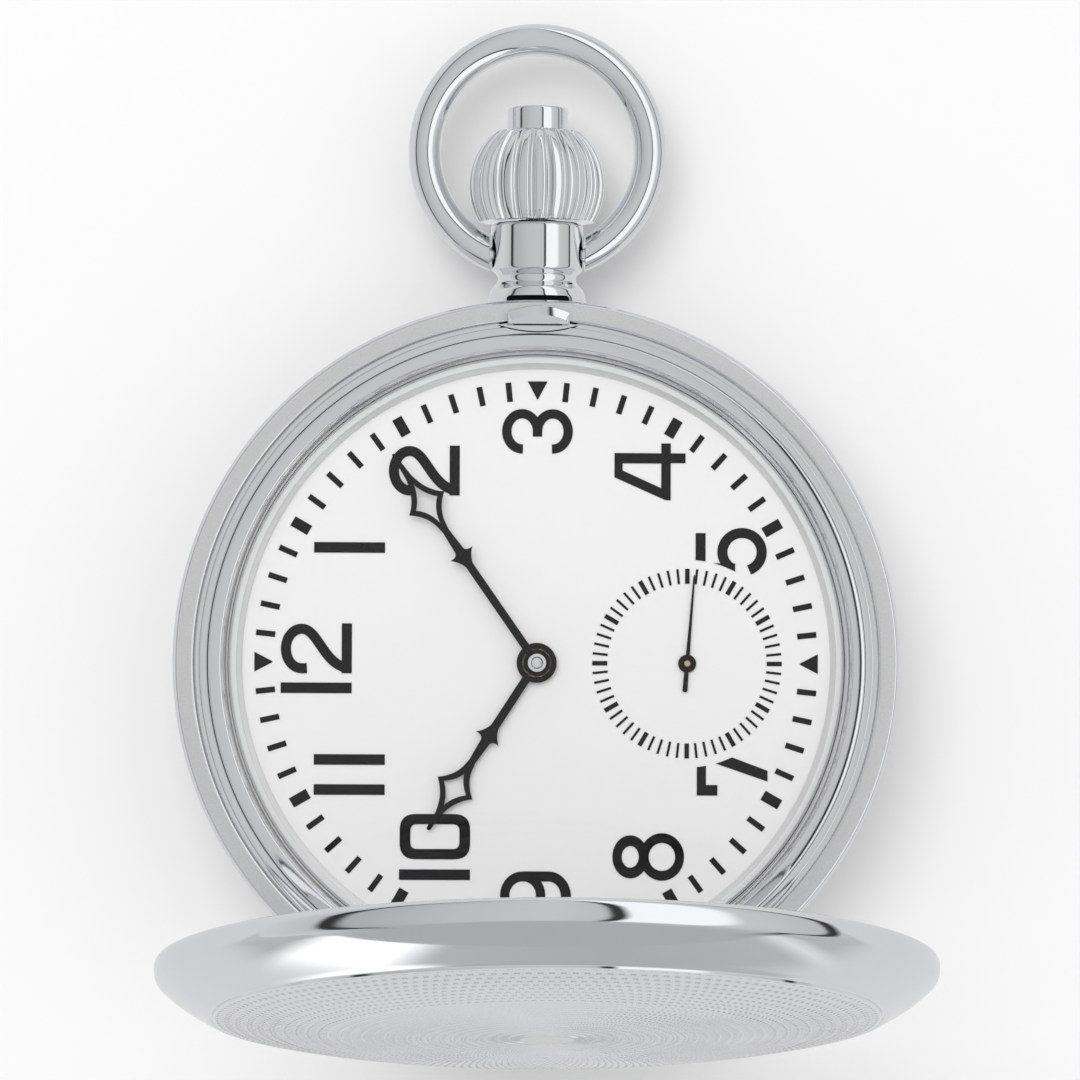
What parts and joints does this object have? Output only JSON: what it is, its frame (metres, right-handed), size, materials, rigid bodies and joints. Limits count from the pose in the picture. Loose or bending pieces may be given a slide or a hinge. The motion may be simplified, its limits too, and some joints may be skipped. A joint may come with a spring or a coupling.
{
  "type": "pocket watch",
  "caption": "Open-lid hunter pocket watch: round metal case with crown, bow, hinged front lid, white dial with small seconds and a hand-wound movement.",
  "frame": {"origin": "centre of the flat rest face of the back cover", "axes": "+Z out of the dial, +Y towards the crown, +X towards the small seconds (6 o'clock)"},
  "size_m": [0.049, 0.0693, 0.0554],
  "materials": {
    "polished_case": "polished, with a bead-blasted seat ring and an engine-turned lid",
    "movement_steel": "fine ground steel",
    "gilt_brass": "matte gilt brass",
    "white_dial": "gloss white lacquer with raised black printing",
    "black_hands": "gloss black",
    "mineral_glass": "clear polished glass",
    "seal_rubber": "matte black"
  },
  "bodies": {
    "case": {"case_middle": "polished_case", "back_cover": "polished_case", "bezel": "polished_case", "crystal": "mineral_glass", "crystal_gasket": "seal_rubber", "dial_flange": "polished_case", "dial": "white_dial", "movement_ring": "gilt_brass", "mainplate": "gilt_brass", "barrel_bridge": "gilt_brass", "train_bridge": "gilt_brass", "balance_cock": "gilt_brass", "pallet_bridge": "gilt_brass", "hairspring": "movement_steel", "barrel_bridge_screw": "movement_steel", "train_bridge_screw": "movement_steel", "balance_cock_screw": "movement_steel", "case_screw_left": "movement_steel", "case_screw_right": "movement_steel", "lock_spring": "movement_steel", "lid_lift_spring": "movement_steel", "hinge_knuckle_left": "polished_case", "hinge_knuckle_right": "polished_case", "hinge_pin": "polished_case", "pendant": "polished_case", "stem_tube": "gilt_brass", "stem_gasket": "seal_rubber"},
    "lid": {"lid_shell": "polished_case", "lid_knuckle": "polished_case"},
    "bow": {"bow": "polished_case"},
    "winding_pinion": {"winding_pinion": "movement_steel"},
    "sliding_clutch": {"sliding_clutch": "movement_steel"},
    "crown": {"crown": "polished_case", "stem": "movement_steel"},
    "release_button": {"release_button": "polished_case"},
    "lid_catch": {"lid_catch": "polished_case"},
    "crown_wheel": {"crown_wheel": "movement_steel"},
    "ratchet_wheel": {"ratchet_wheel": "movement_steel", "ratchet_screw": "movement_steel", "barrel_arbor": "movement_steel"},
    "click": {"click": "movement_steel"},
    "barrel": {"barrel_drum": "gilt_brass", "barrel_cover": "gilt_brass", "mainspring": "movement_steel"},
    "centre_wheel": {"centre_wheel": "gilt_brass"},
    "third_wheel": {"third_wheel": "gilt_brass"},
    "fourth_wheel": {"fourth_wheel": "gilt_brass", "seconds_hand": "black_hands"},
    "escape_wheel": {"escape_wheel": "movement_steel"},
    "pallet_fork": {"pallet_fork": "movement_steel"},
    "balance_wheel": {"balance_wheel": "gilt_brass"},
    "cannon_pinion": {"cannon_pinion": "movement_steel", "minute_hand": "black_hands"},
    "hour_wheel": {"hour_wheel": "gilt_brass", "hour_hand": "black_hands"},
    "minute_wheel": {"minute_wheel": "gilt_brass"},
    "setting_wheel": {"setting_wheel": "movement_steel"},
    "setting_lever": {"setting_lever": "movement_steel"},
    "yoke": {"yoke": "movement_steel"}
  },
  "joints": [
    {"name": "lid_hinge", "type": "hinge", "parent": "case", "child": "lid", "pos_m": [0, -0.0233, 0.008], "axis": [1, 0, 0], "range_deg": [-78.5, 0], "stiffness_Nm_per_rad": 0.01, "springref_deg": 57.3},
    {"name": "bow_swing", "type": "hinge", "parent": "case", "child": "bow", "pos_m": [0, 0.0273, 0.0043], "axis": [1, 0, 0], "range_deg": [-90, 90]},
    {"name": "crown_spin", "type": "hinge", "parent": "case", "child": "winding_pinion", "pos_m": [0, 0.014, 0.0043], "axis": [0, 1, 0], "continuous": true},
    {"name": "crown_pull", "type": "slide", "parent": "winding_pinion", "child": "crown", "axis": [0, 1, 0], "range_m": [0, 0.0009]},
    {"name": "button_press", "type": "slide", "parent": "crown", "child": "release_button", "axis": [0, -1, 0], "range_m": [0, 0.0008], "stiffness_N_per_m": 150},
    {"name": "catch_slide", "type": "slide", "parent": "case", "child": "lid_catch", "axis": [0, -1, 0], "range_m": [0, 0.0006]},
    {"name": "clutch_slide", "type": "slide", "parent": "winding_pinion", "child": "sliding_clutch", "axis": [0, -1, 0], "range_m": [0, 0.0008]},
    {"name": "setting_lever_turn", "type": "hinge", "parent": "case", "child": "setting_lever", "pos_m": [0.0046, 0.0132, 0.00595], "axis": [0, 0, 1], "range_deg": [-14, 1]},
    {"name": "yoke_turn", "type": "hinge", "parent": "case", "child": "yoke", "pos_m": [-0.0048, 0.0146, 0.00595], "axis": [0, 0, 1], "range_deg": [-11, 1]},
    {"name": "crown_wheel_turn", "type": "hinge", "parent": "case", "child": "crown_wheel", "pos_m": [0, 0.0106, 0.00125], "axis": [0, 0, 1], "continuous": true},
    {"name": "ratchet_turn", "type": "hinge", "parent": "case", "child": "ratchet_wheel", "pos_m": [-0.0072, 0.005, 0.00125], "axis": [0, 0, 1], "continuous": true},
    {"name": "click_rock", "type": "hinge", "parent": "case", "child": "click", "pos_m": [-0.0043, 0.0124, 0.00125], "axis": [0, 0, 1], "range_deg": [-10, 0], "stiffness_Nm_per_rad": 0.000002, "springref_deg": 11.46},
    {"name": "seconds_run", "type": "hinge", "parent": "case", "child": "fourth_wheel", "pos_m": [0.01, 0, 0.003], "axis": [0, 0, -1], "continuous": true},
    {"name": "third_wheel_turn", "type": "hinge", "parent": "case", "child": "third_wheel", "pos_m": [0.00541, 0.00404, 0.0035], "axis": [0, 0, -1], "continuous": true},
    {"name": "centre_wheel_turn", "type": "hinge", "parent": "case", "child": "centre_wheel", "pos_m": [0, 0, 0.0041], "axis": [0, 0, -1], "continuous": true},
    {"name": "barrel_turn", "type": "hinge", "parent": "case", "child": "barrel", "pos_m": [-0.0072, 0.005, 0.0032], "axis": [0, 0, -1], "continuous": true},
    {"name": "escape_wheel_turn", "type": "hinge", "parent": "case", "child": "escape_wheel", "pos_m": [0.01095, -0.00536, 0.0035], "axis": [0, 0, -1], "continuous": true},
    {"name": "pallet_rock", "type": "hinge", "parent": "case", "child": "pallet_fork", "pos_m": [0.00869, -0.00734, 0.0035], "axis": [0, 0, 1], "range_deg": [-4, 4]},
    {"name": "balance_swing", "type": "hinge", "parent": "case", "child": "balance_wheel", "pos_m": [0.0045, -0.011, 0.0025], "axis": [0, 0, 1], "range_deg": [-270, 270], "stiffness_Nm_per_rad": 0.0000003},
    {"name": "minute_hand_turn", "type": "hinge", "parent": "case", "child": "cannon_pinion", "pos_m": [0, 0, 0.0078], "axis": [0, 0, -1], "continuous": true},
    {"name": "hour_hand_turn", "type": "hinge", "parent": "case", "child": "hour_wheel", "pos_m": [0, 0, 0.0073], "axis": [0, 0, -1], "continuous": true},
    {"name": "minute_wheel_turn", "type": "hinge", "parent": "case", "child": "minute_wheel", "pos_m": [0.00088, 0.00328, 0.006], "axis": [0, 0, -1], "continuous": true},
    {"name": "setting_wheel_turn", "type": "hinge", "parent": "case", "child": "setting_wheel", "pos_m": [0.00051, 0.00752, 0.006], "axis": [0, 0, -1], "continuous": true}
  ],
  "couplings": [
    {"joint": "catch_slide", "follows": "button_press", "ratio": 0.6875},
    {"joint": "clutch_slide", "follows": "crown_pull", "ratio": 0.77778},
    {"joint": "setting_lever_turn", "follows": "crown_pull", "rad_per_m": -250},
    {"joint": "yoke_turn", "follows": "crown_pull", "rad_per_m": -185},
    {"joint": "crown_wheel_turn", "follows": "crown_spin", "ratio": 0.75},
    {"joint": "ratchet_turn", "follows": "crown_spin", "ratio": -0.5},
    {"joint": "third_wheel_turn", "follows": "seconds_run", "ratio": -0.13333},
    {"joint": "centre_wheel_turn", "follows": "seconds_run", "ratio": 0.016667},
    {"joint": "barrel_turn", "follows": "seconds_run", "ratio": -0.0027778},
    {"joint": "escape_wheel_turn", "follows": "seconds_run", "ratio": -10},
    {"joint": "hour_hand_turn", "follows": "minute_hand_turn", "ratio": 0.083333},
    {"joint": "minute_wheel_turn", "follows": "minute_hand_turn", "ratio": -0.33333},
    {"joint": "setting_wheel_turn", "follows": "minute_hand_turn", "ratio": 0.5}
  ]
}
